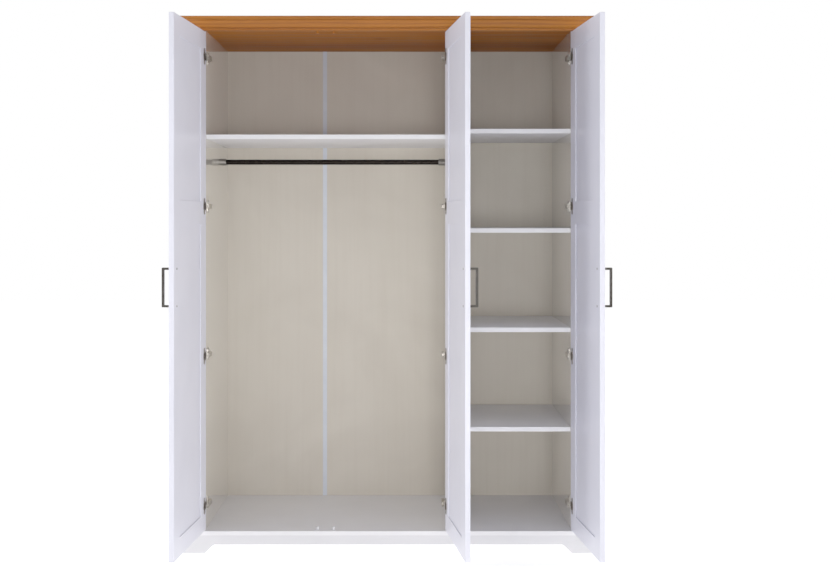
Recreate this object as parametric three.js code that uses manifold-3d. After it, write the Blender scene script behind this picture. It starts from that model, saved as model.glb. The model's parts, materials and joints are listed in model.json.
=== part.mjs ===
// A three-door wardrobe with its doors open: a double bay with a hat shelf and a hanging rail,
// a single bay with four shelves, bracket feet and a cornice. Millimetres, +Z up, front towards -Y.
// Built about the middle of the carcass front edges at floor level, then moved so that the origin
// is the bottom centre of the whole wardrobe with its doors open.
import * as THREE from "three";
import { mergeVertices } from "three/addons/utils/BufferGeometryUtils.js";
import Module from "manifold-3d";

const wasm = await Module();
wasm.setup();

// ---- Sizes -------------------------------------------------------------------------------

// Carcass
const INNER_WIDTH = 1368; // between the two side walls
const INNER_HEIGHT = 1873; // floor board to top board
const INNER_DEPTH = 610; // front edges to the back sheets
const SIDE_THICKNESS = 50; // built-up side walls
const SIDE_FIELD_DEPTH = 4; // sunk field on the outside of each side wall
const SIDE_BORDER = 80; // border round that field
const DIVIDER_THICKNESS = 18;
const TOP_THICKNESS = 22;
const FLOOR_THICKNESS = 16;
const BACK_THICKNESS = 4;
const BACK_INSET = 6; // carcass edge behind the back sheets
const BACK_JOINT_OFFSET = 410; // left side wall to the middle of the joint strip
const BACK_GAP = 3; // between the two back sheets, inside the strip
const STRIP_WIDTH = 17;
const STRIP_FACE = 1.5; // each flange of the strip

// Plinth and bracket feet
const PLINTH_HEIGHT = 66;
const PLINTH_THICKNESS = 18;
const PLINTH_SIDE_REACH = 36; // plinth past the side walls
const PLINTH_FRONT_REACH = 22; // floor board past the carcass front
const PLINTH_SETBACK = 1.5; // plinth boards behind the edge of the floor board
const FOOT_HEIGHT = 31.5; // height of the cut-out between the feet
const FOOT_WIDTH = 84; // sole of each front foot
const SIDE_FOOT_WIDTH = 90; // sole of each foot along the sides
const FOOT_SPLAY = 36; // how far the curved foot runs inwards up to the plinth
const FOOT_BEVEL = 20; // straight 45 degree part of that curve

// Cornice
const CORNICE_HEIGHT = 49;
const CORNICE_REACH = 64; // past the carcass, front and sides
const CORNICE_DROP = 4; // cornice below the underside of the top board
const CORNICE_FOOT_REACH = 27; // reach at its lower edge
const CORNICE_FILLET = 11; // square band at the top
const CORNICE_BEAD = 8; // square band at the bottom
const CORNICE_STEP = 3; // small step beside each band
const CORNICE_SWELL = 0.65; // how strongly the hollow and the round bend, 0 to 1

// Inside fittings
const SHELF_THICKNESS = 17;
const SHELF_SETBACK = 10; // behind the carcass front
const HAT_SPACE = 390; // hat shelf to the top board
const RIGHT_SHELVES = 4;
const LOWEST_SPACE = 367; // floor board to the lowest right shelf
const SHELF_PITCH = 373.5;
const RAIL_DIAMETER = 21;
const RAIL_DROP = 71; // rail centre below the hat shelf
const RAIL_SETBACK = 355; // rail centre behind the carcass front
const SOCKET_WALL = 2.8;
const SOCKET_DEPTH = 28;
const SOCKET_BASE = 3;
const PEG_DIAMETER = 11;
const PEG_LENGTH = 12;
const PEG_SPACING = 60; // between the two pegs of a pair

// Doors
const DOOR_THICKNESS = 18;
const DOOR_GAP = 3.5; // between neighbouring doors
const DOOR_STANDOFF = 3; // closed door to the carcass front
const DOOR_FOOT_GAP = 2;
const DOOR_HEAD_GAP = 3;
const STILE_WIDTH = 80;
const TOP_RAIL_WIDTH = 72;
const BOTTOM_RAIL_WIDTH = 66;
const MID_RAIL_WIDTH = 84;
const MID_RAIL_DROP = 636; // door top to the upper edge of the middle rail
const PANEL_THICKNESS = 10;
const PANEL_TONGUE = 8; // panel inside the groove of the frame
const OUTER_DOOR_OPENING = 94.6; // degrees, at the open stop
const MIDDLE_DOOR_OPENING = 96.4;

// Concealed hinges: the door turns about an axis inside its own thickness
const AXIS_FROM_EDGE = 8.3;
const AXIS_FROM_FACE = 11.5; // from the inner face of the door
const HINGES_PER_DOOR = 4;
const HINGE_END = 94.5; // outer hinges from the ends of the door
const CUP_DIAMETER = 35;
const CUP_WALL = 1.5;
const CUP_DEPTH = 12.5;
const CUP_FLOOR = 1;
const CUP_FROM_EDGE = 22; // cup centre to the hinge edge
const FLANGE_LENGTH = 62;
const FLANGE_WIDTH = 18;
const FLANGE_THICKNESS = 1.2;
const FLANGE_OFFSET = 5; // flange centre past the cup centre
const ARM_OFF_FACE = 3; // arm clear of the open door's inner face
const ARM_THICKNESS = 10.5;
const ARM_HEIGHT = 18;
const ARM_REACH = 11.5; // tip in front of the carcass
const ARM_BACK = 62; // far end behind the carcass front
const PLATE_HEIGHT = 50;
const PLATE_LENGTH = 30;
const PLATE_THICKNESS = 3;

// Handles: a straight bar on two legs that spread at the door
const HANDLE_CENTRES = 128; // between the screw holes
const HANDLE_PROJECTION = 33;
const HANDLE_BAR = 8; // thickness of bar and legs
const HANDLE_WIDTH = 10;
const HANDLE_CORNER = 3; // radius outside the corners
const HANDLE_SPREAD = 5; // each side of a leg, at the door
const HANDLE_SPREAD_HEIGHT = 9;
const HANDLE_FROM_EDGE = 38; // to the free edge of the door
const HANDLE_HEIGHT = 929; // middle of the handle above the bottom of the door

const FIT = 0.3; // clearance where pieces sit in one another
const PAST = 1; // how far a cutting solid runs past the face it cuts
const GRID = 256; // faces that meet share coordinates on a grid of 1/256 mm
const WELD = 1e-3; // vertices closer than this are one
const ROUND_SIDES = 24;
const PEG_SIDES = 16;
const FOOT_CURVE_STEPS = 5;
const CORNICE_CURVE_STEPS = 8;
const HANDLE_CURVE_STEPS = 4;

// ---- Places that follow from the sizes ------------------------------------------------------

const floorTop = PLINTH_HEIGHT + FLOOR_THICKNESS;
const topUnder = floorTop + INNER_HEIGHT;
const sideIn = INNER_WIDTH / 2;
const sideOut = sideIn + SIDE_THICKNESS;
const backFace = INNER_DEPTH;
const backOut = INNER_DEPTH + BACK_THICKNESS + BACK_INSET;
const plinthOut = sideOut + PLINTH_SIDE_REACH;
const corniceFoot = topUnder - CORNICE_DROP;

const overlay = AXIS_FROM_EDGE + AXIS_FROM_FACE; // the open door lies flush with the side wall
const doorWidth = (INNER_WIDTH + 2 * overlay - 2 * DOOR_GAP) / 3;
const doorBottom = floorTop + DOOR_FOOT_GAP;
const doorTop = corniceFoot - DOOR_HEAD_GAP;
const doorHeight = doorTop - doorBottom;
const meeting = doorWidth / 2 + DOOR_GAP / 2; // middle of the gaps beside the middle door
const dividerLeft = meeting - DIVIDER_THICKNESS / 2;
const dividerRight = meeting + DIVIDER_THICKNESS / 2;
const axisY = -DOOR_STANDOFF - AXIS_FROM_FACE;
const hingeHeights = Array.from(
  { length: HINGES_PER_DOOR },
  (_, i) => HINGE_END + (i * (doorHeight - 2 * HINGE_END)) / (HINGES_PER_DOOR - 1),
);

// ---- Tools ------------------------------------------------------------------------------------

// The same geometry with only its positions, on the grid, and with shared vertices merged.
function onGrid(geometry) {
  const g = geometry.clone();
  for (const name of Object.keys(g.attributes)) if (name !== "position") g.deleteAttribute(name);
  const p = g.attributes.position;
  for (let i = 0; i < p.array.length; i++) p.array[i] = Math.round(p.array[i] * GRID) / GRID;
  return mergeVertices(g, WELD);
}

function toSolid(geometry) {
  const g = onGrid(geometry);
  return new wasm.Manifold(
    new wasm.Mesh({
      numProp: 3,
      vertProperties: new Float32Array(g.attributes.position.array),
      triVerts: new Uint32Array(g.index.array),
    }),
  );
}

function fromSolid(solid) {
  const m = solid.getMesh();
  const g = new THREE.BufferGeometry();
  g.setAttribute("position", new THREE.BufferAttribute(new Float32Array(m.vertProperties), 3));
  g.setIndex(new THREE.BufferAttribute(new Uint32Array(m.triVerts), 1));
  return g;
}

const join = (first, ...rest) => fromSolid(rest.reduce((s, g) => s.add(toSolid(g)), toSolid(first)));
const cut = (first, ...rest) => fromSolid(rest.reduce((s, g) => s.subtract(toSolid(g)), toSolid(first)));

// A box from its six faces.
function box(x0, x1, y0, y1, z0, z1) {
  const g = new THREE.BoxGeometry(1, 1, 1);
  const p = g.attributes.position;
  for (let i = 0; i < p.count; i++)
    p.setXYZ(i, p.getX(i) < 0 ? x0 : x1, p.getY(i) < 0 ? y0 : y1, p.getZ(i) < 0 ? z0 : z1);
  return g;
}

function outline(points) {
  return new THREE.Shape(points.map(([x, y]) => new THREE.Vector2(x, y)));
}

function extrude(shape, length, curveSegments = 1) {
  return new THREE.ExtrudeGeometry(shape, { depth: length, bevelEnabled: false, curveSegments });
}

// A cylinder between two values of X, Y or Z.
function rod(axis, diameter, centre, from, to, sides = ROUND_SIDES) {
  const g = new THREE.CylinderGeometry(diameter / 2, diameter / 2, to - from, sides);
  if (axis === "x") g.rotateZ(-Math.PI / 2);
  if (axis === "z") g.rotateX(Math.PI / 2);
  const middle = (from + to) / 2;
  if (axis === "x") return g.translate(middle, centre[0], centre[1]);
  if (axis === "y") return g.translate(centre[0], middle, centre[1]);
  return g.translate(centre[0], centre[1], middle);
}

const looks = {
  white: { color: 0xe9e8ee, roughness: 0.35, metalness: 0 },
  door: { color: 0xe4e4ec, roughness: 0.3, metalness: 0 },
  back: { color: 0xb9b4aa, roughness: 0.6, metalness: 0 },
  pine: { color: 0xbe7837, roughness: 0.45, metalness: 0 },
  strip: { color: 0xd2d8e2, roughness: 0.4, metalness: 0 },
  rail: { color: 0x23211f, roughness: 0.3, metalness: 0.9 },
  socket: { color: 0xa8a8a8, roughness: 0.35, metalness: 0.9 },
  hinge: { color: 0x6a625a, roughness: 0.3, metalness: 1 },
  handle: { color: 0x37342f, roughness: 0.4, metalness: 0.8 },
  peg: { color: 0xe8e8ee, roughness: 0.4, metalness: 0 },
};

const wardrobe = new THREE.Group();

function add(name, geometry, look, parent = wardrobe) {
  const mesh = new THREE.Mesh(onGrid(geometry), new THREE.MeshStandardMaterial(looks[look]));
  mesh.name = name;
  parent.add(mesh);
  return mesh;
}

// ---- Plinth -----------------------------------------------------------------------------------

// A board with two feet, from a to b along its length: the curve between foot and plinth starts
// level and ends at 45 degrees on the sole.
function footedBoard(a, b, footA, footB, thickness) {
  const s = new THREE.Shape();
  s.moveTo(a, 0);
  s.lineTo(a + footA, 0);
  s.lineTo(a + footA + FOOT_BEVEL, FOOT_BEVEL);
  s.quadraticCurveTo(a + footA + FOOT_HEIGHT, FOOT_HEIGHT, a + footA + FOOT_SPLAY, FOOT_HEIGHT);
  s.lineTo(b - footB - FOOT_SPLAY, FOOT_HEIGHT);
  s.quadraticCurveTo(b - footB - FOOT_HEIGHT, FOOT_HEIGHT, b - footB - FOOT_BEVEL, FOOT_BEVEL);
  s.lineTo(b - footB, 0);
  s.lineTo(b, 0);
  s.lineTo(b, PLINTH_HEIGHT);
  s.lineTo(a, PLINTH_HEIGHT);
  return extrude(s, thickness, FOOT_CURVE_STEPS).rotateX(Math.PI / 2); // upright, thickness towards -Y
}

const plinthFront = -PLINTH_FRONT_REACH + PLINTH_SETBACK;
const plinthX = plinthOut - PLINTH_SETBACK;
const plinthBackFace = backOut - PLINTH_THICKNESS;
add(
  "plinth_front",
  footedBoard(-plinthX, plinthX, FOOT_WIDTH, FOOT_WIDTH, PLINTH_THICKNESS)
    .translate(0, plinthFront + PLINTH_THICKNESS, 0),
  "white",
);
for (const [name, x] of [["plinth_side_left", -plinthX], ["plinth_side_right", plinthX - PLINTH_THICKNESS]])
  add(
    name,
    footedBoard(
      plinthFront + PLINTH_THICKNESS, plinthBackFace,
      SIDE_FOOT_WIDTH - PLINTH_THICKNESS, SIDE_FOOT_WIDTH - PLINTH_THICKNESS, PLINTH_THICKNESS,
    ).rotateZ(Math.PI / 2).translate(x, 0, 0),
    "white",
  );
add("plinth_back", box(-plinthX, plinthX, plinthBackFace, backOut, 0, PLINTH_HEIGHT), "white");
add(
  "floor_panel",
  box(-plinthOut, plinthOut, -PLINTH_FRONT_REACH, backOut, PLINTH_HEIGHT, floorTop),
  "white",
);

// ---- Side walls, divider, top -------------------------------------------------------------------

for (const [name, side] of [["side_wall_left", -1], ["side_wall_right", 1]]) {
  const at = (a, b) => [Math.min(side * a, side * b), Math.max(side * a, side * b)];
  const wall = box(...at(sideIn, sideOut), 0, backOut, floorTop, topUnder);
  const field = box(
    ...at(sideOut - SIDE_FIELD_DEPTH, sideOut + PAST),
    SIDE_BORDER, backOut - SIDE_BORDER, floorTop + SIDE_BORDER, topUnder - SIDE_BORDER,
  );
  const rebate = box(
    ...at(sideIn - PAST, sideIn + BACK_INSET), backFace, backOut + PAST, floorTop - PAST, topUnder + PAST,
  );
  add(name, cut(wall, field, rebate), "white");
}
add("centre_divider", box(dividerLeft, dividerRight, 0, backFace, floorTop, topUnder), "white");
add("top_panel", box(-sideOut, sideOut, 0, backOut, topUnder, topUnder + TOP_THICKNESS), "pine");

// ---- Back ---------------------------------------------------------------------------------------

const jointX = -sideIn + BACK_JOINT_OFFSET;
const sheetEdge = sideIn + BACK_INSET;
const sheet = (x0, x1) => box(x0, x1, backFace, backFace + BACK_THICKNESS, floorTop, topUnder);
add("back_panel_left", sheet(-sheetEdge, jointX - BACK_GAP / 2), "back");
add("back_panel_right", sheet(jointX + BACK_GAP / 2, sheetEdge), "back");
const stripHalf = STRIP_WIDTH / 2;
const webHalf = BACK_GAP / 2 - FIT;
const stripFront = backFace - FIT;
const stripBack = backFace + BACK_THICKNESS + FIT;
add(
  "back_joint_strip",
  extrude(
    outline([
      [-stripHalf, stripFront - STRIP_FACE], [stripHalf, stripFront - STRIP_FACE],
      [stripHalf, stripFront], [webHalf, stripFront], [webHalf, stripBack],
      [stripHalf, stripBack], [stripHalf, stripBack + STRIP_FACE],
      [-stripHalf, stripBack + STRIP_FACE], [-stripHalf, stripBack],
      [-webHalf, stripBack], [-webHalf, stripFront], [-stripHalf, stripFront],
    ]),
    INNER_HEIGHT,
  ).translate(jointX, 0, floorTop),
  "strip",
);

// ---- Cornice ------------------------------------------------------------------------------------

// Reach and height of the moulding, from the carcass outwards: square bands above and below a
// hollow and a round between them.
const hollowTop = CORNICE_HEIGHT - CORNICE_FILLET;
const corniceRun = CORNICE_REACH - CORNICE_FOOT_REACH - 2 * CORNICE_STEP;
const corniceRise = hollowTop - CORNICE_BEAD;
const profile = new THREE.Shape();
profile.moveTo(0, 0);
profile.lineTo(CORNICE_FOOT_REACH, 0);
profile.lineTo(CORNICE_FOOT_REACH, CORNICE_BEAD);
profile.lineTo(CORNICE_FOOT_REACH + CORNICE_STEP, CORNICE_BEAD);
profile.bezierCurveTo(
  CORNICE_FOOT_REACH + CORNICE_STEP + corniceRun * CORNICE_SWELL, CORNICE_BEAD,
  CORNICE_REACH - CORNICE_STEP - corniceRun * CORNICE_SWELL, CORNICE_BEAD + corniceRise,
  CORNICE_REACH - CORNICE_STEP, hollowTop,
);
profile.lineTo(CORNICE_REACH, hollowTop);
profile.lineTo(CORNICE_REACH, CORNICE_HEIGHT);
profile.lineTo(0, CORNICE_HEIGHT);

// Cuts each end off along an upright plane through the corner at (cx, cy), turned by angle.
function mitred(geometry, corners) {
  const span = 4 * (sideOut + CORNICE_REACH + backOut);
  return cut(
    geometry,
    ...corners.map(([cx, cy, angle]) =>
      box(-span, span, -FIT / 2, span, -PAST, CORNICE_HEIGHT + PAST)
        .rotateZ(angle).translate(cx, cy, 0)),
  );
}
const frontLength = 2 * (sideOut + CORNICE_REACH);
const sideLength = backOut + CORNICE_REACH;
const eighth = Math.PI / 4;
// along +X with the reach towards -Y
const frontMoulding = extrude(profile, frontLength, CORNICE_CURVE_STEPS)
  .applyMatrix4(new THREE.Matrix4().makeBasis(
    new THREE.Vector3(0, -1, 0), new THREE.Vector3(0, 0, 1), new THREE.Vector3(-1, 0, 0),
  ))
  .translate(frontLength / 2, 0, 0);
// the two upper stop pegs are let into its back edge
const pegY = -DOOR_STANDOFF + FIT + PEG_DIAMETER / 2;
const pegs = [["left", -meeting - PEG_SPACING / 2], ["middle", -meeting + PEG_SPACING / 2]];
add(
  "cornice_front",
  cut(
    mitred(frontMoulding, [[-sideOut, 0, eighth], [sideOut, 0, -eighth]]).translate(0, 0, corniceFoot),
    ...pegs.map(([, x]) =>
      rod("z", PEG_DIAMETER + 2 * FIT, [x, pegY], corniceFoot - PAST, topUnder + FIT, PEG_SIDES)),
  ),
  "pine",
);
// along +Y with the reach towards +X
const rightMoulding = extrude(profile, sideLength, CORNICE_CURVE_STEPS)
  .applyMatrix4(new THREE.Matrix4().makeBasis(
    new THREE.Vector3(1, 0, 0), new THREE.Vector3(0, 0, 1), new THREE.Vector3(0, -1, 0),
  ))
  .translate(sideOut, backOut, 0);
add(
  "cornice_right",
  mitred(rightMoulding, [[sideOut, 0, Math.PI - eighth]]).translate(0, 0, corniceFoot),
  "pine",
);
const leftMoulding = extrude(profile, sideLength, CORNICE_CURVE_STEPS)
  .applyMatrix4(new THREE.Matrix4().makeBasis(
    new THREE.Vector3(-1, 0, 0), new THREE.Vector3(0, 0, 1), new THREE.Vector3(0, 1, 0),
  ))
  .translate(-sideOut, -CORNICE_REACH, 0);
add(
  "cornice_left",
  mitred(leftMoulding, [[-sideOut, 0, Math.PI + eighth]]).translate(0, 0, corniceFoot),
  "pine",
);

// ---- Shelves and rail ---------------------------------------------------------------------------

const hatTop = topUnder - HAT_SPACE;
const shelf = (x0, x1, top) =>
  box(x0, x1, SHELF_SETBACK, backFace - STRIP_FACE - FIT, top - SHELF_THICKNESS, top);
add("hat_shelf", shelf(-sideIn, dividerLeft, hatTop), "white");
for (let i = 0; i < RIGHT_SHELVES; i++) {
  const top = floorTop + LOWEST_SPACE + SHELF_THICKNESS + i * SHELF_PITCH;
  add(`right_shelf_${RIGHT_SHELVES - i}`, shelf(dividerRight, sideIn, top), "white");
}
const railZ = hatTop - SHELF_THICKNESS - RAIL_DROP;
const railAt = [RAIL_SETBACK, railZ]; // Y and Z of its centre line
add(
  "hanging_rail",
  rod("x", RAIL_DIAMETER, railAt, -sideIn + SOCKET_BASE + FIT, dividerLeft - SOCKET_BASE - FIT),
  "rail",
);
// A socket is a cup on its side, from its base against the board to its mouth round the rail.
const socketDiameter = RAIL_DIAMETER + 2 * FIT + 2 * SOCKET_WALL;
function socket(base, mouth) {
  const away = Math.sign(mouth - base);
  const floor = base + away * SOCKET_BASE;
  const hole = [floor, mouth + away * PAST].sort((a, b) => a - b);
  return cut(
    rod("x", socketDiameter, railAt, Math.min(base, mouth), Math.max(base, mouth)),
    rod("x", RAIL_DIAMETER + 2 * FIT, railAt, ...hole),
  );
}
add("rail_socket_left", socket(-sideIn, -sideIn + SOCKET_DEPTH), "socket");
add("rail_socket_right", socket(dividerLeft, dividerLeft - SOCKET_DEPTH), "socket");

// ---- Stop pegs, where the left and middle doors meet ------------------------------------------

for (const [side, x] of pegs) {
  const peg = (from) => rod("z", PEG_DIAMETER, [x, pegY], from, from + PEG_LENGTH, PEG_SIDES);
  add(`door_stop_top_${side}`, peg(topUnder - PEG_LENGTH), "pine");
  add(`door_stop_bottom_${side}`, peg(floorTop), "peg");
}

// ---- Hinge arms on the carcass ----------------------------------------------------------------

// The arm of a hinge on a board whose face is at x = 0, with the bay towards +X. The arm lies
// over the mouth of the cup and reaches in front of the carcass, and the plate holds it.
function hingeArm(armFrom) {
  const half = ARM_HEIGHT / 2;
  const armTo = armFrom + ARM_THICKNESS;
  const arm = box(armFrom, armTo, -ARM_REACH, ARM_BACK, -half, half);
  const foot = box(PLATE_THICKNESS / 2, armTo, ARM_BACK - PLATE_LENGTH, ARM_BACK, -half, half);
  const plate = box(
    0, PLATE_THICKNESS, ARM_BACK - PLATE_LENGTH, ARM_BACK, -PLATE_HEIGHT / 2, PLATE_HEIGHT / 2,
  );
  return join(arm, foot, plate);
}

// ---- Doors --------------------------------------------------------------------------------------

// Each door is drawn with its turning axis at the origin, its width along +X, its inner face
// towards +Y and its bottom edge at z = 0. A door hinged on its right is the mirror image.
const doorEdge = -AXIS_FROM_EDGE;
const doorFree = doorEdge + doorWidth;
const doorIn = AXIS_FROM_FACE;
const doorOut = doorIn - DOOR_THICKNESS;
const cupX = doorEdge + CUP_FROM_EDGE;

function mirrorX(geometry) {
  const g = onGrid(geometry);
  g.scale(-1, 1, 1);
  const index = g.index.array;
  for (let i = 0; i < index.length; i += 3) [index[i], index[i + 1]] = [index[i + 1], index[i]];
  return g;
}

function doorFrame() {
  const x0 = doorEdge + STILE_WIDTH;
  const x1 = doorFree - STILE_WIDTH;
  const z0 = BOTTOM_RAIL_WIDTH;
  const z3 = doorHeight - TOP_RAIL_WIDTH;
  const z2 = doorHeight - MID_RAIL_DROP;
  const z1 = z2 - MID_RAIL_WIDTH;
  const middleY = (doorIn + doorOut) / 2;
  const half = PANEL_THICKNESS / 2 + FIT;
  const deep = PANEL_TONGUE + FIT;
  return cut(
    box(doorEdge, doorFree, doorOut, doorIn, 0, doorHeight),
    box(x0, x1, doorOut - PAST, doorIn + PAST, z0, z1),
    box(x0, x1, doorOut - PAST, doorIn + PAST, z2, z3),
    box(x0 - deep, x1 + deep, middleY - half, middleY + half, z0 - deep, z3 + deep),
    ...hingeHeights.map((z) =>
      rod("y", CUP_DIAMETER + 2 * FIT, [cupX, z], doorIn - CUP_DEPTH - FIT, doorIn + PAST)),
  );
}

function doorPanel() {
  const x0 = doorEdge + STILE_WIDTH - PANEL_TONGUE;
  const x1 = doorFree - STILE_WIDTH + PANEL_TONGUE;
  const middleY = (doorIn + doorOut) / 2;
  const half = PANEL_THICKNESS / 2;
  return box(
    x0, x1, middleY - half, middleY + half,
    BOTTOM_RAIL_WIDTH - PANEL_TONGUE, doorHeight - TOP_RAIL_WIDTH + PANEL_TONGUE,
  );
}

function hingeCup(z) {
  const flangeIn = doorIn + FIT;
  const flangeFace = flangeIn + FLANGE_THICKNESS;
  const flangeX = cupX + FLANGE_OFFSET;
  const bottom = doorIn - CUP_DEPTH;
  return cut(
    join(
      rod("y", CUP_DIAMETER, [cupX, z], bottom, flangeFace),
      box(
        flangeX - FLANGE_WIDTH / 2, flangeX + FLANGE_WIDTH / 2,
        flangeIn, flangeFace, z - FLANGE_LENGTH / 2, z + FLANGE_LENGTH / 2,
      ),
    ),
    rod("y", CUP_DIAMETER - 2 * CUP_WALL, [cupX, z], bottom + CUP_FLOOR, flangeFace + PAST),
  );
}

// A bar on two spreading legs, on the outer face.
function handle() {
  const waist = HANDLE_SPREAD_HEIGHT / 3; // where the spread of a leg bends most
  const half = HANDLE_CENTRES / 2;
  const inside = half - HANDLE_BAR / 2;
  const outside = half + HANDLE_BAR / 2;
  const under = HANDLE_PROJECTION - HANDLE_BAR;
  const s = new THREE.Shape(); // along the bar, and away from the door
  const spread = (end, from, foot) =>
    s.quadraticCurveTo(end * from, waist, end * foot, 0);
  s.moveTo(-outside - HANDLE_SPREAD, 0);
  s.lineTo(-inside + HANDLE_SPREAD, 0);
  s.quadraticCurveTo(-inside, waist, -inside, HANDLE_SPREAD_HEIGHT);
  s.lineTo(-inside, under);
  s.lineTo(inside, under);
  s.lineTo(inside, HANDLE_SPREAD_HEIGHT);
  spread(1, inside, inside - HANDLE_SPREAD);
  s.lineTo(outside + HANDLE_SPREAD, 0);
  s.quadraticCurveTo(outside, waist, outside, HANDLE_SPREAD_HEIGHT);
  s.lineTo(outside, HANDLE_PROJECTION - HANDLE_CORNER);
  s.quadraticCurveTo(outside, HANDLE_PROJECTION, outside - HANDLE_CORNER, HANDLE_PROJECTION);
  s.lineTo(-outside + HANDLE_CORNER, HANDLE_PROJECTION);
  s.quadraticCurveTo(-outside, HANDLE_PROJECTION, -outside, HANDLE_PROJECTION - HANDLE_CORNER);
  s.lineTo(-outside, HANDLE_SPREAD_HEIGHT);
  spread(-1, outside, outside + HANDLE_SPREAD);
  return extrude(s, HANDLE_WIDTH, HANDLE_CURVE_STEPS)
    .applyMatrix4(new THREE.Matrix4().makeBasis(
      new THREE.Vector3(0, 0, 1), new THREE.Vector3(0, -1, 0), new THREE.Vector3(1, 0, 0),
    ))
    .translate(doorFree - HANDLE_FROM_EDGE - HANDLE_WIDTH / 2, doorOut - FIT, HANDLE_HEIGHT);
}

// armFrom is the gap between the board's face and the arm: the arm clears the open door's face.
for (const [side, hinged, edgeX, boardX, opening] of [
  ["left", -1, -sideIn - overlay, -sideIn, OUTER_DOOR_OPENING],
  ["middle", 1, meeting - DOOR_GAP / 2, dividerLeft, MIDDLE_DOOR_OPENING],
  ["right", 1, sideIn + overlay, sideIn, OUTER_DOOR_OPENING],
]) {
  const turned = (g) => (hinged < 0 ? g : mirrorX(g));
  const axisX = edgeX - hinged * AXIS_FROM_EDGE;
  const armFrom = ARM_OFF_FACE + AXIS_FROM_FACE + hinged * (boardX - axisX);
  const door = new THREE.Group();
  door.position.set(axisX, axisY, doorBottom);
  door.rotation.z = hinged * THREE.MathUtils.degToRad(opening);
  wardrobe.add(door);
  add(`door_${side}_frame`, turned(doorFrame()), "door", door);
  add(`door_${side}_panel`, turned(doorPanel()), "door", door);
  add(`door_${side}_handle`, turned(handle()), "handle", door);
  hingeHeights.forEach((z, i) => {
    const number = HINGES_PER_DOOR - i;
    add(`hinge_cup_${side}_${number}`, turned(hingeCup(z)), "hinge", door);
    add(
      `hinge_arm_${side}_${number}`,
      turned(hingeArm(armFrom)).translate(boardX, 0, doorBottom + z),
      "hinge",
    );
  });
}

// ---- The part's frame: origin at the bottom centre of everything, doors open --------------------

wardrobe.updateMatrixWorld(true);
const extent = new THREE.Box3().setFromObject(wardrobe, true);
const snap = (value) => Math.round(value * GRID) / GRID;
wardrobe.position.set(
  -snap((extent.min.x + extent.max.x) / 2), -snap((extent.min.y + extent.max.y) / 2), -extent.min.z,
);

export default wardrobe;
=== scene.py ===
import json
import math

import bmesh
import bpy
from mathutils import Matrix, Vector


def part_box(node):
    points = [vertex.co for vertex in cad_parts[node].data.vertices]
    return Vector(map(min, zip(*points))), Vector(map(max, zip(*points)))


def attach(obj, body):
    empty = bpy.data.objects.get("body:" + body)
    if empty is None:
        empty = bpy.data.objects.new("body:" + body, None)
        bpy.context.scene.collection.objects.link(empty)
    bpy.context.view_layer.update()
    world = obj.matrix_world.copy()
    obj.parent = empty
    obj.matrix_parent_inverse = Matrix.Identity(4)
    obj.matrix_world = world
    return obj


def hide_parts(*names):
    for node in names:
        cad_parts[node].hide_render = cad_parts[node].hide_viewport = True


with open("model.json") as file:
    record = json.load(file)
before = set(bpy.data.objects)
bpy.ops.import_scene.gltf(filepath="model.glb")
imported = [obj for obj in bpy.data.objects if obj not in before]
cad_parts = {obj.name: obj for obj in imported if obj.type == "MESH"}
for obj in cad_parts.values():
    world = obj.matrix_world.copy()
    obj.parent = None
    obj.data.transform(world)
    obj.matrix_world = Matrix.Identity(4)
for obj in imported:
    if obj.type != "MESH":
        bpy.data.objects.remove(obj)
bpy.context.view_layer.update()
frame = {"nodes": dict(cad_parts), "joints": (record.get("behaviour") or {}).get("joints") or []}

nodes = frame["nodes"]
MM = 0.001

# ---- Where things are ------------------------------------------------------------------------

SIDES = ("left", "middle", "right")
HINGES = (1, 2, 3, 4)  # up each door
SHELVES = (1, 2, 3, 4)  # up the right bay
joints = {j["child"]: j for j in frame["joints"]}


def door_space(side):
    """From a door's own space to the frame: X along its width from the hinge axis, Y out of its
    inner face, Z up."""
    joint = joints[side + "_door"]
    opening = math.radians(joint["range_deg"][1])
    hand = joint["axis"][2]
    turn = Matrix.Rotation(-hand * opening, 3, "Z")
    width = turn @ Vector((hand, 0, 0))
    inner = turn @ Vector((0, 1, 0))
    x, y, _ = joint["pos_m"]
    space = Matrix.Translation((x, y, 0))
    space.col[0][:3] = width
    space.col[1][:3] = inner
    return space


def reach(node, space):
    """Lowest and highest corner of a CAD node, measured in another space."""
    back = space.inverted()
    points = [back @ v.co for v in nodes[node].data.vertices]
    low = Vector([min(p[i] for p in points) for i in range(3)])
    high = Vector([max(p[i] for p in points) for i in range(3)])
    return low, high


# ---- Materials -------------------------------------------------------------------------------

GRAIN_X = (1, 0, 0)
GRAIN_Y = (0, 1, 0)
GRAIN_Z = (0, 0, 1)
TREE_HEART = (0.0, 0.35, 0.9)  # puts the middle of the pine's year rings outside the boards
# how alike the true and the rounded normal are where wear starts, and where it is full
EDGE_STARTS = 0.995
EDGE_FULL = 0.86


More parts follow.
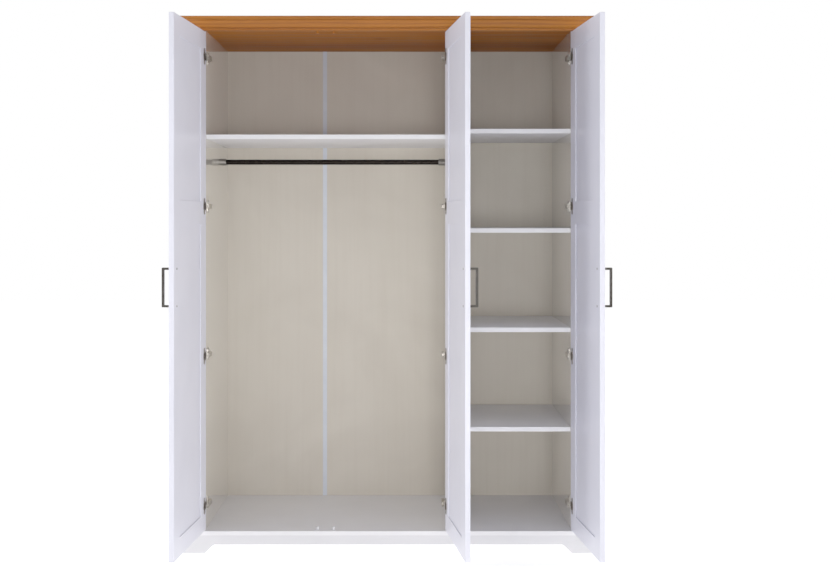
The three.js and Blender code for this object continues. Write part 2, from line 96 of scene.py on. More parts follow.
class Surface:
    """A procedural material, built node by node. All patterns lie in the piece's own metres."""

    def __init__(self, name, roughness, metallic=0.0, specular=0.5):
        self.material = bpy.data.materials.new(name)
        self.material.use_nodes = True
        self.tree = self.material.node_tree
        self.shader = self.tree.nodes["Principled BSDF"]
        self.shader.inputs["Metallic"].default_value = metallic
        self.shader.inputs["Roughness"].default_value = roughness
        self.shader.inputs["Specular IOR Level"].default_value = specular
        self.place = self.tree.nodes.new("ShaderNodeTexCoord").outputs["Object"]

    def add(self, kind, **settings):
        node = self.tree.nodes.new(kind)
        for name, value in settings.items():
            setattr(node, name, value)
        return node

    def feed(self, socket, value):
        if isinstance(value, bpy.types.NodeSocket):
            self.tree.links.new(value, socket)
        else:
            socket.default_value = value

    def stretched(self, grain, length):
        """The place, squeezed along the grain so that a pattern is length times as long there."""
        scale = self.add("ShaderNodeVectorMath", operation="MULTIPLY")
        self.feed(scale.inputs[0], self.place)
        self.feed(scale.inputs[1], tuple(1 / length if g else 1 for g in grain))
        return scale.outputs[0]

    def noise(self, size, detail=3.0, rough=0.5, where=None, bend=0.0):
        """A soft random pattern, 0 to 1, whose blots are about size metres across."""
        node = self.add("ShaderNodeTexNoise")
        self.feed(node.inputs["Vector"], self.place if where is None else where)
        node.inputs["Scale"].default_value = 1 / size
        node.inputs["Detail"].default_value = detail
        node.inputs["Roughness"].default_value = rough
        node.inputs["Distortion"].default_value = bend
        return node.outputs["Fac"]

    def cells(self, size, where=None):
        """Distance to the nearest of many scattered points, size metres apart."""
        node = self.add("ShaderNodeTexVoronoi")
        self.feed(node.inputs["Vector"], self.place if where is None else where)
        node.inputs["Scale"].default_value = 1 / size
        return node.outputs["Distance"]

    def calc(self, kind, a, b=0.0):
        node = self.add("ShaderNodeMath", operation=kind)
        self.feed(node.inputs[0], a)
        self.feed(node.inputs[1], b)
        return node.outputs[0]

    def spread(self, value, low, high, to_low=0.0, to_high=1.0):
        """The value, stretched from low..high to to_low..to_high, and held inside it."""
        node = self.add("ShaderNodeMapRange")
        for socket, setting in zip(node.inputs, (value, low, high, to_low, to_high)):
            self.feed(socket, setting)
        return node.outputs[0]

    def blend(self, share, a, b):
        """Colour a, turning to colour b as share goes from 0 to 1."""
        node = self.add("ShaderNodeMix", data_type="RGBA")
        self.feed(node.inputs[0], share)
        for socket, colour in ((node.inputs[6], a), (node.inputs[7], b)):
            self.feed(socket, (*colour, 1) if isinstance(colour, tuple) else colour)
        return node.outputs[2]

    def worn_edges(self, radius):
        """1 on edges and corners within radius, 0 on the flats, broken up by a fine noise."""
        bevel = self.add("ShaderNodeBevel", samples=4)
        bevel.inputs["Radius"].default_value = radius
        flat = self.add("ShaderNodeNewGeometry").outputs["Normal"]
        likeness = self.add("ShaderNodeVectorMath", operation="DOT_PRODUCT")
        self.feed(likeness.inputs[0], bevel.outputs[0])
        self.feed(likeness.inputs[1], flat)
        edge = self.spread(likeness.outputs["Value"], EDGE_STARTS, EDGE_FULL)
        patchy = self.spread(self.noise(30 * MM, detail=5, rough=0.7), 0.42, 0.66)
        return self.calc("MULTIPLY", edge, patchy)

    def colour(self, value):
        self.feed(self.shader.inputs["Base Color"], value)

    def roughness(self, value):
        self.feed(self.shader.inputs["Roughness"], value)

    def bump(self, height, strength, distance):
        node = self.add("ShaderNodeBump")
        node.inputs["Strength"].default_value = strength
        node.inputs["Distance"].default_value = distance
        self.feed(node.inputs["Height"], height)
        self.feed(self.shader.inputs["Normal"], node.outputs[0])

    def coat(self, weight, roughness, ior=1.5):
        self.feed(self.shader.inputs["Coat Weight"], weight)
        self.shader.inputs["Coat Roughness"].default_value = roughness
        self.shader.inputs["Coat IOR"].default_value = ior


def painted_wood(name, paint, shade, primer, grain):
    """Sprayed paint over wood: the grain telegraphs faintly, edges are rubbed to the primer."""
    s = Surface(name, 0.4)
    along = s.stretched(grain, 28)
    fibre = s.noise(4 * MM, detail=4, rough=0.6, where=along)
    cloud = s.noise(350 * MM)
    peel = s.noise(2.2 * MM, detail=2)
    tone = s.blend(s.spread(cloud, 0.3, 0.7), paint, shade)
    tone = s.blend(s.spread(fibre, 0.5, 0.72, 0, 0.16), tone, shade)
    edge = s.worn_edges(2.2 * MM)
    s.colour(s.blend(s.calc("MULTIPLY", edge, 0.5), tone, primer))
    sheen = s.spread(cloud, 0.3, 0.7, 0.30, 0.42)
    s.roughness(s.calc("ADD", sheen, s.spread(edge, 0, 1, 0, 0.2)))
    height = s.calc("ADD", s.calc("MULTIPLY", fibre, 0.8), s.calc("MULTIPLY", peel, 0.5))
    s.bump(height, 0.16, 0.6 * MM)
    return s.material


def lacquered_board(name, face, shade, core, grain, outside=None, outside_from=0.0):
    """White board under a film: pores along the grain, a soft mottle, chipped edges. With an
    outside colour the film is a mirror gloss, and past outside_from from the middle of the
    wardrobe it turns to satin paint."""
    s = Surface(name, 0.45)
    if outside:
        apart = s.add("ShaderNodeSeparateXYZ")
        s.feed(apart.inputs[0], s.place)
        from_middle = s.calc("ABSOLUTE", apart.outputs[0])
        out = s.spread(from_middle, outside_from, outside_from + 0.1 * MM)
        gloss = s.calc("SUBTRACT", 1.0, out)
    along = s.stretched(grain, 18)
    pores = s.spread(s.cells(3.5 * MM, along), 0.0, 0.22, 1, 0)
    fibre = s.noise(6 * MM, detail=4, rough=0.6, where=along)
    cloud = s.noise(280 * MM)
    tone = s.blend(s.spread(cloud, 0.3, 0.7), face, shade)
    tone = s.blend(s.spread(fibre, 0.45, 0.75, 0, 0.25), tone, shade)
    if outside:
        tone = s.blend(out, tone, s.blend(s.spread(cloud, 0.3, 0.7), *outside))
    tone = s.blend(s.calc("MULTIPLY", pores, 0.10), tone, core)
    edge = s.worn_edges(1.8 * MM)
    s.colour(s.blend(s.calc("MULTIPLY", edge, 0.4), tone, core))
    satin = s.spread(fibre, 0.3, 0.7, 0.44, 0.54)
    height = s.calc("SUBTRACT", fibre, s.calc("MULTIPLY", pores, 0.5))
    if outside:
        s.roughness(s.calc("SUBTRACT", satin, s.calc("MULTIPLY", gloss, 0.30)))
        s.bump(height, 0.02, 0.5 * MM)
        s.coat(gloss, roughness=0.04, ior=2.4)
    else:
        s.roughness(satin)
        s.bump(height, 0.10, 0.5 * MM)
    return s.material


def back_board(name, face, shade, stain):
    """Thin printed fibreboard: a warm mottle, faint upright streaks and a fine orange peel."""
    s = Surface(name, 0.5, specular=0.35)
    streak = s.noise(20 * MM, detail=4, rough=0.6, where=s.stretched(GRAIN_Z, 30))
    cloud = s.noise(450 * MM, rough=0.55, bend=0.6)
    speck = s.noise(1.6 * MM, rough=0.6)
    tone = s.blend(s.spread(cloud, 0.36, 0.66), face, shade)
    tone = s.blend(s.spread(streak, 0.45, 0.75, 0, 0.14), tone, stain)
    tone = s.blend(s.spread(speck, 0.55, 0.75, 0, 0.12), tone, stain)
    s.colour(tone)
    s.roughness(s.spread(streak, 0.3, 0.7, 0.45, 0.53))
    s.bump(s.calc("ADD", speck, s.calc("MULTIPLY", streak, 0.25)), 0.12, 0.5 * MM)
    return s.material


def pine(name, grain, polish=1.0):
    """Oiled pine: broad bands, dark latewood lines, pores and a few knots, lighter rubbed edges."""
    s = Surface(name, 0.45, specular=0.18 * polish)
    along = s.stretched(grain, 16)
    warp = s.noise(100 * MM, detail=2, where=along)
    knots = s.spread(s.cells(210 * MM, s.stretched(grain, 3)), 0.03, 0.085, 1, 0)
    rings = s.add("ShaderNodeTexWave", wave_type="RINGS", rings_direction="SPHERICAL")
    from_heart = s.add("ShaderNodeVectorMath", operation="ADD")
    s.feed(from_heart.inputs[0], along)
    s.feed(from_heart.inputs[1], TREE_HEART)
    s.feed(rings.inputs["Vector"], from_heart.outputs[0])
    rings.inputs["Scale"].default_value = 26
    rings.inputs["Distortion"].default_value = 5.0
    rings.inputs["Detail"].default_value = 3
    rings.inputs["Detail Scale"].default_value = 1.6
    late = s.spread(rings.outputs["Fac"], 0.55, 0.95)
    fibre = s.noise(2.4 * MM, detail=4, rough=0.65, where=along)
    tone = s.blend(s.spread(warp, 0.35, 0.65), SAPWOOD, HEARTWOOD)
    tone = s.blend(s.calc("MULTIPLY", late, 0.46), tone, LATEWOOD)
    tone = s.blend(s.spread(fibre, 0.45, 0.8, 0, 0.35), tone, LATEWOOD)
    tone = s.blend(s.calc("MULTIPLY", knots, 0.8), tone, KNOT)
    edge = s.worn_edges(1.6 * MM)
    s.colour(s.blend(s.calc("MULTIPLY", edge, 0.55), tone, RUBBED_PINE))
    matt = 0.35 * (1 - polish)
    s.roughness(s.spread(s.calc("ADD", late, fibre), 0.3, 1.5, 0.50 + matt, 0.36 + matt))
    s.bump(s.calc("ADD", late, s.calc("MULTIPLY", fibre, 0.9)), 0.22, 0.6 * MM)
    return s.material


def moulded_plastic(name, face, shade):
    """Plastic from a mould or a die: a fine spark texture, draw marks and uneven polish."""
    s = Surface(name, 0.4)
    grit = s.noise(0.9 * MM, detail=2, rough=0.6)
    draw = s.noise(1.2 * MM, detail=2, where=s.stretched(GRAIN_Z, 60))
    cloud = s.noise(50 * MM)
    s.colour(s.blend(s.spread(cloud, 0.3, 0.7), face, shade))
    s.roughness(s.spread(cloud, 0.3, 0.7, 0.32, 0.46))
    s.bump(s.calc("ADD", grit, draw), 0.10, 0.2 * MM)
    return s.material


def metal(name, face, tarnish, bright, roughness, grain, scratch=0.05):
    """Plated metal: brushing along the grain, clouds of tarnish and edges rubbed bright."""
    s = Surface(name, roughness, metallic=1.0)
    brushed = s.noise(0.7 * MM, rough=0.6, where=s.stretched(grain, 40))
    cloud = s.noise(18 * MM, detail=4, rough=0.6)
    tone = s.blend(s.spread(cloud, 0.38, 0.68), face, tarnish)
    s.colour(s.blend(s.worn_edges(1.2 * MM), tone, bright))
    rough = s.spread(brushed, 0.3, 0.7, roughness - 0.06, roughness + 0.08)
    s.roughness(s.calc("ADD", rough, s.spread(cloud, 0.4, 0.7, 0, 0.10)))
    s.bump(brushed, scratch, 0.2 * MM)
    return s.material


# Colours, as linear red, green and blue
WHITE = (0.84, 0.83, 0.85)
WHITE_SHADE = (0.79, 0.78, 0.80)
# The plinth is the same white board as the carcass; these greyer copies of the white are painted
# shade.
PLINTH_PAINTED_SHADE = (0.71, 0.70, 0.725)
PLINTH_MOTTLE_PAINTED_SHADE = (0.665, 0.655, 0.68)
CHIPBOARD = (0.52, 0.44, 0.33)
# The side walls' and divider's inside faces are white board; these warm, darker colours are painted
# shade, toned like the shaded back board.
WALL_INSIDE_PAINTED_SHADE = (0.74, 0.69, 0.60)
WALL_INSIDE_MOTTLE_PAINTED_SHADE = (0.69, 0.64, 0.55)
BACK = (0.63, 0.575, 0.485)
BACK_SHADE = (0.57, 0.515, 0.43)
BACK_STAIN = (0.46, 0.39, 0.30)
# The doors are white paint; the lilac-blue cast of these two colours is painted light, the cool
# tint of the studio light. The walls' outside faces share it.
PAINT_PAINTED_BLUE_LIGHT = (0.77, 0.77, 0.88)
PAINT_MOTTLE_PAINTED_BLUE_LIGHT = (0.70, 0.70, 0.80)
PRIMER = (0.84, 0.83, 0.85)
SAPWOOD = (0.42, 0.125, 0.012)
HEARTWOOD = (0.32, 0.082, 0.006)
LATEWOOD = (0.17, 0.036, 0.003)
KNOT = tuple(0.35 * channel for channel in LATEWOOD)
RUBBED_PINE = (0.50, 0.21, 0.05)

# The doors' white paint, with the painted blue light tint.
door_upright_painted_blue_light = painted_wood("door_paint_upright_painted_blue_light", PAINT_PAINTED_BLUE_LIGHT, PAINT_MOTTLE_PAINTED_BLUE_LIGHT, PRIMER, GRAIN_Z)
board_along = lacquered_board("white_board_along", WHITE, WHITE_SHADE, CHIPBOARD, GRAIN_X)
# The plinth's greyer white is painted shade.
plinth_along_painted_shade = lacquered_board("white_plinth_along_painted_shade", PLINTH_PAINTED_SHADE, PLINTH_MOTTLE_PAINTED_SHADE, CHIPBOARD, GRAIN_X)
plinth_deep_painted_shade = lacquered_board("white_plinth_deep_painted_shade", PLINTH_PAINTED_SHADE, PLINTH_MOTTLE_PAINTED_SHADE, CHIPBOARD, GRAIN_Y)
wall_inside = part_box("side_wall_right")[0].x
# Inside faces get the painted-shade wall colours under a mirror coat; outside faces get the door
# paint.
wall_gloss_painted_shade = lacquered_board(
    "white_wall_gloss_painted_shade", WALL_INSIDE_PAINTED_SHADE, WALL_INSIDE_MOTTLE_PAINTED_SHADE, CHIPBOARD, GRAIN_Z,
    outside=(PAINT_PAINTED_BLUE_LIGHT, PAINT_MOTTLE_PAINTED_BLUE_LIGHT), outside_from=wall_inside + 0.2 * MM)
back_face = back_board("back_board_print", BACK, BACK_SHADE, BACK_STAIN)
pine_along = pine("oiled_pine_along", GRAIN_X)
pine_deep = pine("oiled_pine_deep", GRAIN_Y)
pine_under = pine("oiled_pine_matt", GRAIN_X, polish=0.6)
pine_upright = pine("oiled_pine_upright", GRAIN_Z)
strip_plastic = moulded_plastic("joint_strip_plastic", (0.60, 0.64, 0.72), (0.55, 0.59, 0.68))
peg_plastic = moulded_plastic("peg_plastic", (0.80, 0.80, 0.83), (0.74, 0.74, 0.77))
# The rail is chrome; its near-black colour is a painted reflection of dark surroundings, not a
# black finish.
rail_painted_dark_reflection = metal(
    "rail_chrome_painted_dark_reflection", face=(0.009, 0.007, 0.006), tarnish=(0.006, 0.005, 0.004),
    bright=(0.10, 0.09, 0.08), roughness=0.24, grain=GRAIN_X, scratch=0.03)
socket_metal = metal(
    "socket_nickel", face=(0.20, 0.185, 0.165), tarnish=(0.15, 0.14, 0.125),
    bright=(0.45, 0.44, 0.42), roughness=0.36, grain=GRAIN_Y, scratch=0.06)
hinge_metal = metal(
    "hinge_nickel", face=(0.56, 0.52, 0.47), tarnish=(0.40, 0.36, 0.31),
    bright=(0.80, 0.77, 0.72), roughness=0.28, grain=GRAIN_Y)
cup_metal = metal(
    "cup_nickel", face=(0.24, 0.205, 0.18), tarnish=(0.15, 0.125, 0.105),
    bright=(0.50, 0.46, 0.42), roughness=0.26, grain=GRAIN_Y)
screw_metal = metal(
    "screw_steel", face=(0.30, 0.29, 0.29), tarnish=(0.20, 0.19, 0.19),
    bright=(0.65, 0.64, 0.62), roughness=0.34, grain=GRAIN_X)
handle_metal = metal(
    "handle_antique", face=(0.055, 0.050, 0.044), tarnish=(0.030, 0.026, 0.022),
    bright=(0.28, 0.24, 0.19), roughness=0.40, grain=GRAIN_Z, scratch=0.10)

# ---- The CAD nodes ---------------------------------------------------------------------------

SMOOTH_BELOW = math.radians(35)  # neighbouring faces that turn less than this are one curve


def smoothing():
    """A modifier's node group that joins the faces' corners and smooths all but sharp edges."""
    group = bpy.data.node_groups.new("smooth_curves", "GeometryNodeTree")
    group.interface.new_socket("Geometry", in_out="INPUT", socket_type="NodeSocketGeometry")
    group.interface.new_socket("Geometry", in_out="OUTPUT", socket_type="NodeSocketGeometry")
    add = group.nodes.new
    start, end = add("NodeGroupInput"), add("NodeGroupOutput")
    merge = add("GeometryNodeMergeByDistance")
    merge.inputs["Distance"].default_value = 0.02 * MM
    faces, edges = add("GeometryNodeSetShadeSmooth"), add("GeometryNodeSetShadeSmooth")
    edges.domain = "EDGE"
    edges.inputs["Shade Smooth"].default_value = False
    angle = add("GeometryNodeInputMeshEdgeAngle")
    sharp = add("FunctionNodeCompare")
    sharp.inputs["B"].default_value = SMOOTH_BELOW
    link = group.links.new
    link(start.outputs[0], merge.inputs["Geometry"])
    link(merge.outputs[0], faces.inputs["Geometry"])
    link(faces.outputs[0], edges.inputs["Geometry"])
    link(angle.outputs["Unsigned Angle"], sharp.inputs["A"])
    link(sharp.outputs[0], edges.inputs["Selection"])
    link(edges.outputs[0], end.inputs[0])
    return group


smooth_curves = smoothing()


def finish_node(name, material, edge):
    """Gives a CAD node its material and rounds its sharp edges by edge metres."""
    node = nodes[name]
    node.data.materials.clear()
    node.data.materials.append(material)
    node.modifiers.new("smooth", "NODES").node_group = smooth_curves
    soften(node, edge)


def soften(piece, edge):
    """Rounds a piece's sharp edges by edge metres."""
    bevel = piece.modifiers.new("round", "BEVEL")
    bevel.width = edge
    bevel.segments = 2
    bevel.limit_method = "ANGLE"
    bevel.angle_limit = SMOOTH_BELOW
    bevel.use_clamp_overlap = True
    normals = piece.modifiers.new("normals", "WEIGHTED_NORMAL")
    normals.keep_sharp = False


# Each node's material, and how far its edges are rounded
finishes = [
    ("floor_panel", board_along, 0.9),
    ("hat_shelf", board_along, 0.9),
    *((f"right_shelf_{number}", board_along, 0.9) for number in SHELVES),
    ("plinth_front", plinth_along_painted_shade, 0.9),
    ("plinth_back", plinth_along_painted_shade, 0.9),
    ("plinth_side_left", plinth_deep_painted_shade, 0.9),
    ("plinth_side_right", plinth_deep_painted_shade, 0.9),
    ("side_wall_left", wall_gloss_painted_shade, 0.8),
    ("side_wall_right", wall_gloss_painted_shade, 0.8),
    ("centre_divider", wall_gloss_painted_shade, 0.8),
    ("back_panel_left", back_face, 0.3),
    ("back_panel_right", back_face, 0.3),
    ("back_joint_strip", strip_plastic, 0.3),
    ("top_panel", pine_under, 0.7),
    ("cornice_front", pine_along, 0.7),
    ("cornice_left", pine_deep, 0.7),
    ("cornice_right", pine_deep, 0.7),
    ("hanging_rail", rail_painted_dark_reflection, 0.4),
    ("rail_socket_left", socket_metal, 0.5),
    ("rail_socket_right", socket_metal, 0.5),
]
for side in ("left", "middle"):
    finishes.append(("door_stop_top_" + side, pine_upright, 1.2))
    finishes.append(("door_stop_bottom_" + side, peg_plastic, 1.2))
for side in SIDES:
    finishes.append((f"door_{side}_frame", door_upright_painted_blue_light, 1.2))
    finishes.append((f"door_{side}_panel", door_upright_painted_blue_light, 0.5))
    finishes.append((f"door_{side}_handle", handle_metal, 1.6))
for name, material, edge in finishes:
    finish_node(name, material, edge * MM)

# ---- Pieces made here ------------------------------------------------------------------------

LATHE_SIDES = 40
SCREW_SIDES = 24


def new_piece(name, shape, space, body, material, edge):
    """Turns a bmesh drawn in space into a piece on a body, with its edges rounded."""
    shape.transform(space)
    if space.determinant() < 0:
        bmesh.ops.reverse_faces(shape, faces=shape.faces)
    mesh = bpy.data.meshes.new(name)
    shape.to_mesh(mesh)
    shape.free()
    mesh.materials.append(material)
    mesh.polygons.foreach_set("use_smooth", [True] * len(mesh.polygons))
    piece = bpy.data.objects.new(name, mesh)
    bpy.context.scene.collection.objects.link(piece)
    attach(piece, body)
    soften(piece, edge)
    return piece


def bridge(shape, rings):
    """Faces between each ring of corners and the next; a ring of one corner closes to a point."""
    faces = []
    for low, high in zip(rings, rings[1:]):
        count = max(len(low), len(high))
        for i in range(count):
            j = (i + 1) % count
            corners = [low[i % len(low)], low[j % len(low)],
                       high[j % len(high)], high[i % len(high)]]
            faces.append(shape.faces.new(list(dict.fromkeys(corners))))
    return faces


def prism(shape, outline, low, high, lift=Matrix.Identity(4)):
    """A straight prism over an outline of (x, y) points, from low to high along Z, then lifted."""
    rings = [[shape.verts.new(lift @ Vector((x, y, z))) for x, y in outline] for z in (low, high)]
    faces = bridge(shape, rings)
    faces.append(shape.faces.new(rings[0][::-1]))
    faces.append(shape.faces.new(rings[1]))
    if lift.determinant() < 0:
        bmesh.ops.reverse_faces(shape, faces=faces)


def circle(radius, count):
    turns = [2 * math.pi * i / count for i in range(count)]
    return [(radius * math.cos(t), radius * math.sin(t)) for t in turns]


def stadium(half_length, radius, steps=8):
    """An outline with round ends, long in Y."""
    points = []
    straight = half_length - radius
    for end, first in ((1, 0), (-1, math.pi)):
        for i in range(steps + 1):
            t = first + math.pi * i / steps
            points.append((radius * math.cos(t), end * straight + radius * math.sin(t)))
    return points


def lathe(shape, profile, lift):
    """A closed profile of (radius, height) points turned about Z; radius 0 closes on the axis."""
    rings = []
    for radius, height in profile:
        ring = circle(radius, LATHE_SIDES) if radius else [(0, 0)]
        rings.append([shape.verts.new(lift @ Vector((x, y, height))) for x, y in ring])
    faces = bridge(shape, rings)
    if lift.determinant() < 0:
        bmesh.ops.reverse_faces(shape, faces=faces)


def screw(shape, lift, radius, height):
    """A raised screw head with a sunk cross, its seat at height 0 and its top along +Z."""
    arm = 0.16 * radius  # half the width of a slot
    tip = 0.62 * radius  # half its length
    bottom = height - 0.55 * height
    cross = [(arm, arm), (arm, tip), (-arm, tip), (-arm, arm), (-tip, arm), (-tip, -arm),
             (-arm, -arm), (-arm, -tip), (arm, -tip), (arm, -arm), (tip, -arm), (tip, arm)]
    profile = [(radius, 0.0), (radius, 0.45 * height), (0.93 * radius, 0.75 * height),
               (0.78 * radius, height)]
    rings = [[shape.verts.new(lift @ Vector((x, y, z))) for x, y in circle(r, SCREW_SIDES)]
             for r, z in profile]
    faces = [shape.faces.new(rings[0][::-1])]
    faces += bridge(shape, rings)
    rim, floor = ([shape.verts.new(lift @ Vector((x, y, z))) for x, y in cross]
                  for z in (height, bottom))
    faces += bridge(shape, (rim, floor))
    faces.append(shape.faces.new(floor))
    # the ring between the head's edge and the cross
    loops = [edge for edge in shape.edges if edge.is_boundary]
    bmesh.ops.triangle_fill(shape, use_beauty=True, edges=loops)
    if lift.determinant() < 0:
        bmesh.ops.reverse_faces(shape, faces=faces)


def facing(direction, place):
    """A placement whose Z points along direction ('+x' or '+y') from a place."""
    turns = {
        "+x": Matrix.Rotation(math.pi / 2, 4, "Y"),
        "+y": Matrix.Rotation(-math.pi / 2, 4, "X"),
    }
    return Matrix.Translation(place) @ turns[direction]


# ---- Hinge arms ------------------------------------------------------------------------------
# Drawn from the board's face: X away from the board, Y from the tip to the back, Z up.

SHEET = 1.4 * MM  # the arm's steel
ARM_HIGH = 10.5 * MM  # the arm's channel, from its open side to its web
ARM_HALF = 9 * MM  # half the arm's height along Z
TIP_ROUND = 3.5 * MM
FLANGE_FROM = 5 * MM  # the channel's flanges start behind the tip, lowest at FLANGE_FULL
FLANGE_FULL = 24 * MM
PLATE = 3 * MM  # the mounting plate's thickness
PLATE_DEEP = 30 * MM
PLATE_HALF = 12 * MM
WING_HALF = 25 * MM
WING_ROUND = 9 * MM
WING_SCREW = 17 * MM
WING_SCREW_HEAD = (4.2 * MM, 1.6 * MM)  # radius and height
BOLT_BEHIND = 9 * MM  # the clamping bolt, from the back of the arm
BOLT_RADIUS = 3.6 * MM
CAM_BEHIND = 24 * MM
CAM_RADIUS = 4.6 * MM
BOLT_HEAD = 0.6 * MM  # height of both heads, level with the arm's web


def hinge_arm(width, depth):
    """width is how far the arm stands off the board, depth its length; its tip is at Y = 0."""
    shape = bmesh.new()
    web = width - SHEET
    open_side = width - ARM_HIGH
    shoulder = depth - PLATE_DEEP
    flat = Matrix.Rotation(math.pi / 2, 4, "Y") @ Matrix.Rotation(math.pi / 2, 4, "Z")

    # the web: a long plate with round corners at its tip
    turns = [math.pi / 2 * i / 5 for i in range(6)]
    inset = ARM_HALF - TIP_ROUND
    right = [(inset + TIP_ROUND * math.sin(t), TIP_ROUND * (1 - math.cos(t))) for t in turns]
    left = [(-z, y) for z, y in reversed(right)]
    outline = left + right + [(ARM_HALF, depth), (-ARM_HALF, depth)]
    prism(shape, [(y, z) for z, y in outline], web, width, flat)

    # the two flanges of the channel, cut back in a slope towards the tip
    back = depth - 2 * MM
    flange = [(open_side + 5 * MM, FLANGE_FROM + 4 * MM), (web, FLANGE_FROM), (web, back),
              (open_side, back), (open_side, FLANGE_FULL)]
    for z in (-ARM_HALF, ARM_HALF - SHEET):
        prism(shape, flange, z, z + SHEET)

    # the mounting plate: a raised block under the arm, and two wings with a screw each
    block = [(PLATE, shoulder), (web, shoulder + 2 * MM), (web, depth - 3 * MM), (PLATE, depth)]
    prism(shape, block, -ARM_HALF + SHEET, ARM_HALF - SHEET)
    wing = [(y + depth - PLATE_DEEP / 2, z) for y, z in stadium(WING_HALF, WING_ROUND)]
    prism(shape, wing, 0.0, PLATE, flat)
    plate = [(shoulder, -PLATE_HALF), (depth, -PLATE_HALF), (depth, PLATE_HALF),
             (shoulder, PLATE_HALF)]
    prism(shape, plate, 0.0, PLATE * 0.9, flat)
    return shape


def arm_screws(depth):
    shape = bmesh.new()
    for z in (-WING_SCREW, WING_SCREW):
        screw(shape, facing("+x", (PLATE, depth - PLATE_DEEP / 2, z)), *WING_SCREW_HEAD)
    return shape


def arm_bolts(width, depth):
    """The clamping bolt at the back of the arm and the adjusting cam in front of it."""
    shape = bmesh.new()
    for behind, radius in ((BOLT_BEHIND, BOLT_RADIUS), (CAM_BEHIND, CAM_RADIUS)):
        place = (width - BOLT_HEAD, depth - behind, 0)
        screw(shape, facing("+x", place), radius, BOLT_HEAD)
    return shape


# ---- Hinge cups ------------------------------------------------------------------------------
# Drawn from the middle of the cup at the door's face: X along the door, Y out of its face, Z up.

CUP_RADIUS = 17.5 * MM
CUP_INSIDE = 16 * MM
CUP_DEEP = 12.5 * MM
CUP_FLOOR = 1 * MM
CUP_ROUND = 1.5 * MM  # round of the cup's lower edge, outside
FLOOR_ROUND = 2 * MM  # and inside
RIM_HIGH = 2.3 * MM
RIM_WIDE = 0.7 * MM
RIM_SLOPE = 0.8 * MM
FLANGE_HALF = 31 * MM
FLANGE_ROUND = 9 * MM
FLANGE_AHEAD = 5 * MM
FLANGE_LOW = 0.3 * MM
FLANGE_HIGH = 2.1 * MM
CHEEK_RADIUS = CUP_INSIDE - 0.2 * MM
CHEEK_FROM = 10.6 * MM  # cheeks lie outside this height, clear of the arm
CHEEK_TOP = -1.2 * MM
EAR_ROOT = CUP_RADIUS - 0.8 * MM  # the arc where the flange's ears start
EAR_SCREW = 24 * MM
EAR_SCREW_HEAD = (4.2 * MM, 1.1 * MM)  # radius and height


def hinge_cup():
    """The round cup, with the two cheeks inside it that hold the links."""
    shape = bmesh.new()
    out = facing("+y", (0, 0, 0))
    floor = CUP_FLOOR - CUP_DEEP
    lathe(shape, [
        (0, -CUP_DEEP),
        (CUP_RADIUS - CUP_ROUND, -CUP_DEEP),
        (CUP_RADIUS, CUP_ROUND - CUP_DEEP),
        (CUP_RADIUS, RIM_HIGH),
        (CUP_RADIUS - RIM_WIDE, RIM_HIGH),
        (CUP_INSIDE, RIM_HIGH - RIM_SLOPE),
        (CUP_INSIDE, floor + FLOOR_ROUND),
        (CUP_INSIDE - FLOOR_ROUND, floor),
        (0, floor),
    ], out)
    half = math.acos(CHEEK_FROM / CHEEK_RADIUS)
    for middle in (math.pi / 2, math.pi * 3 / 2):
        turns = [middle + half * (i / 5 - 1) for i in range(11)]
        slice_of_round = [(CHEEK_RADIUS * math.cos(t), CHEEK_RADIUS * math.sin(t)) for t in turns]
        prism(shape, slice_of_round, floor, CHEEK_TOP, out)
    return shape


def cup_flange():
    """The flange's two ears, above and below the cup. Each has a round end, and starts in an arc
    inside the cup's rim."""
    shape = bmesh.new()
    out = facing("+y", (0, 0, 0))
    end = [(x + FLANGE_AHEAD, z) for x, z in stadium(FLANGE_HALF, FLANGE_ROUND) if z > 0]
    start = math.acos((FLANGE_AHEAD - FLANGE_ROUND) / EAR_ROOT)
    stop = math.acos((FLANGE_AHEAD + FLANGE_ROUND) / EAR_ROOT)
    turns = [start + (stop - start) * i / 8 for i in range(9)]
    root = [(EAR_ROOT * math.cos(t), EAR_ROOT * math.sin(t)) for t in turns]
    for sign in (1, -1):
        prism(shape, end + root, FLANGE_LOW, FLANGE_HIGH, out @ Matrix.Diagonal((1, sign, 1, 1)))
    return shape


def cup_screws():
    shape = bmesh.new()
    for z in (-EAR_SCREW, EAR_SCREW):
        screw(shape, facing("+y", (FLANGE_AHEAD, FLANGE_HIGH, z)), *EAR_SCREW_HEAD)
    return shape


for side in SIDES:
    space = door_space(side)
    body = side + "_door"
    toward = 1 if side == "left" else -1  # the way from the board to the arm's web, along X
    for number in HINGES:
        arm = f"hinge_arm_{side}_{number}"
        low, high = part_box(arm)
        width, depth = high.x - low.x, high.y - low.y
        face_x = low.x if toward > 0 else high.x
        tip = Matrix.Translation((face_x, low.y, (low.z + high.z) / 2))
        tip = tip @ Matrix.Diagonal((toward, 1, 1, 1))
        for part, shape, material, edge in (
                ("_steel", hinge_arm(width, depth), hinge_metal, 0.4 * MM),
                ("_screws", arm_screws(depth), screw_metal, 0.15 * MM),
                ("_bolts", arm_bolts(width, depth), screw_metal, 0.1 * MM)):
            piece = new_piece(arm + part, shape, tip, "carcass", material, edge)
            if part == "_steel":
                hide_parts(arm)

        cup = f"hinge_cup_{side}_{number}"
        low, high = reach(cup, space)
        middle = space @ Matrix.Translation(
            (low.x + CUP_RADIUS, low.y + CUP_DEEP, (low.z + high.z) / 2))
        for part, shape, material, edge in (
                ("_steel", hinge_cup(), cup_metal, 0.25 * MM),
                ("_flange", cup_flange(), cup_metal, 0.25 * MM),
                ("_screws", cup_screws(), screw_metal, 0.12 * MM)):
            piece = new_piece(cup + part, shape, middle, body, material, edge)
            if part == "_steel":
                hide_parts(cup)

# ---- Handle screws, on the inner faces -------------------------------------------------------

HANDLE_CENTRES = 128 * MM
HANDLE_SCREW_HEAD = (4 * MM, 1.8 * MM)  # radius and height

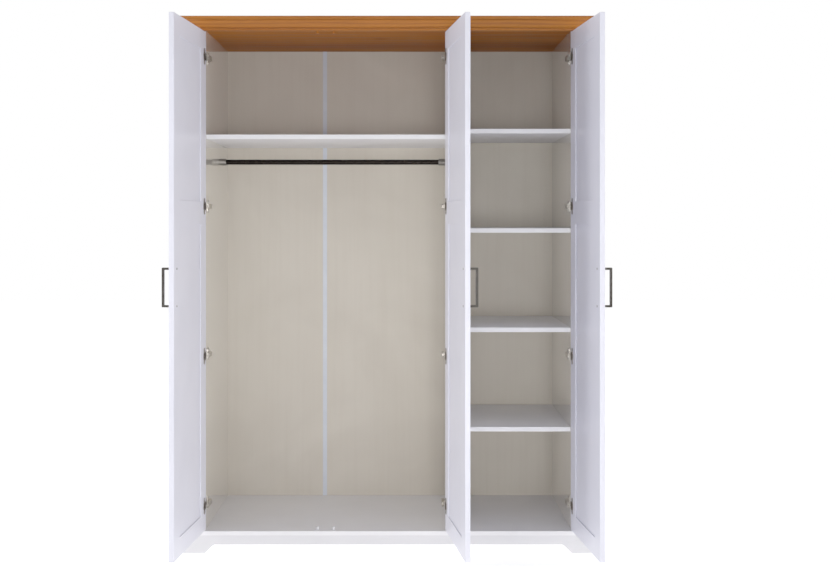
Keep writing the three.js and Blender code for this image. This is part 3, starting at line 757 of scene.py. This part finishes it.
for side in SIDES:
    space = door_space(side)
    low, high = reach(f"door_{side}_handle", space)
    inner = reach(f"door_{side}_frame", space)[1].y
    shape = bmesh.new()
    for half in (-0.5, 0.5):
        place = ((low.x + high.x) / 2, inner, (low.z + high.z) / 2 + half * HANDLE_CENTRES)
        screw(shape, facing("+y", place), *HANDLE_SCREW_HEAD)
    new_piece(f"door_{side}_handle_screws", shape, space, side + "_door",
              screw_metal, 0.15 * MM)

# ---- Studio ----------------------------------------------------------------------------------

CAMERA_PLACE = (0.051, -4.9117, 1.239)
CAMERA_SHIFT = (0.0186, -0.0739)
CAMERA_LENS = 55.62
SOFT_CONTRAST = 1.4  # the view's gamma, for the low contrast of a studio full of stray light
FILL_COLOUR = (0.96, 0.97, 1.0, 1)
FILL_STRENGTH = 0.50
SIDE_POWER = 38
FRONT_POWER = 3.0
FLOOR_SIZE = 30
FLOOR_GLOW = 0.58  # keeps the paper as white as the backdrop

scene = bpy.context.scene
scene.view_settings.view_transform = "Standard"
scene.view_settings.gamma = SOFT_CONTRAST

camera = bpy.data.objects.new("camera", bpy.data.cameras.new("camera"))
scene.collection.objects.link(camera)
camera.location = CAMERA_PLACE
camera.rotation_euler = (math.pi / 2, 0, 0)
camera.data.lens = CAMERA_LENS
camera.data.shift_x, camera.data.shift_y = CAMERA_SHIFT
scene.camera = camera

# The world: a white backdrop where the camera sees it, and a softer fill for everything else.
world = bpy.data.worlds.new("studio")
scene.world = world
world.use_nodes = True
sky = world.node_tree
backdrop = sky.nodes["Background"]
backdrop.inputs["Color"].default_value = (1, 1, 1, 1)
fill = sky.nodes.new("ShaderNodeBackground")
fill.inputs["Color"].default_value = FILL_COLOUR
fill.inputs["Strength"].default_value = FILL_STRENGTH
mix = sky.nodes.new("ShaderNodeMixShader")
sky.links.new(sky.nodes.new("ShaderNodeLightPath").outputs["Is Camera Ray"], mix.inputs[0])
sky.links.new(fill.outputs[0], mix.inputs[1])
sky.links.new(backdrop.outputs[0], mix.inputs[2])
sky.links.new(mix.outputs[0], sky.nodes["World Output"].inputs["Surface"])


def softbox(name, place, aim, size, power, spread=180):
    light = bpy.data.lights.new(name, "AREA")
    light.shape = "RECTANGLE"
    light.size, light.size_y = size
    light.energy = power
    light.spread = math.radians(spread)
    lamp = bpy.data.objects.new(name, light)
    scene.collection.objects.link(lamp)
    lamp.location = place
    lamp.rotation_euler = (Vector(aim) - Vector(place)).to_track_quat("-Z", "Y").to_euler()


for side, x in (("left", -3.97), ("right", 3.97)):
    softbox("softbox_" + side, (x, -2.4, 1.2), (0, -0.3, 0.9), (1.0, 2.2), SIDE_POWER)
softbox("front_fill", (0.3, -6.5, 0.8), (0, 0, 0.7), (1.6, 1.2), FRONT_POWER, spread=30)

shape = bmesh.new()
bmesh.ops.create_grid(shape, x_segments=8, y_segments=8, size=FLOOR_SIZE / 2)
mesh = bpy.data.meshes.new("studio_floor")
shape.to_mesh(mesh)
shape.free()
floor = bpy.data.objects.new("studio_floor", mesh)
scene.collection.objects.link(floor)
paper = Surface("studio_paper", 0.9, specular=0.1)
paper.colour(paper.blend(paper.noise(0.8), (0.90, 0.90, 0.90), (0.93, 0.93, 0.93)))
paper.shader.inputs["Emission Color"].default_value = (1, 1, 1, 1)
paper.shader.inputs["Emission Strength"].default_value = FLOOR_GLOW
floor.data.materials.append(paper.material)
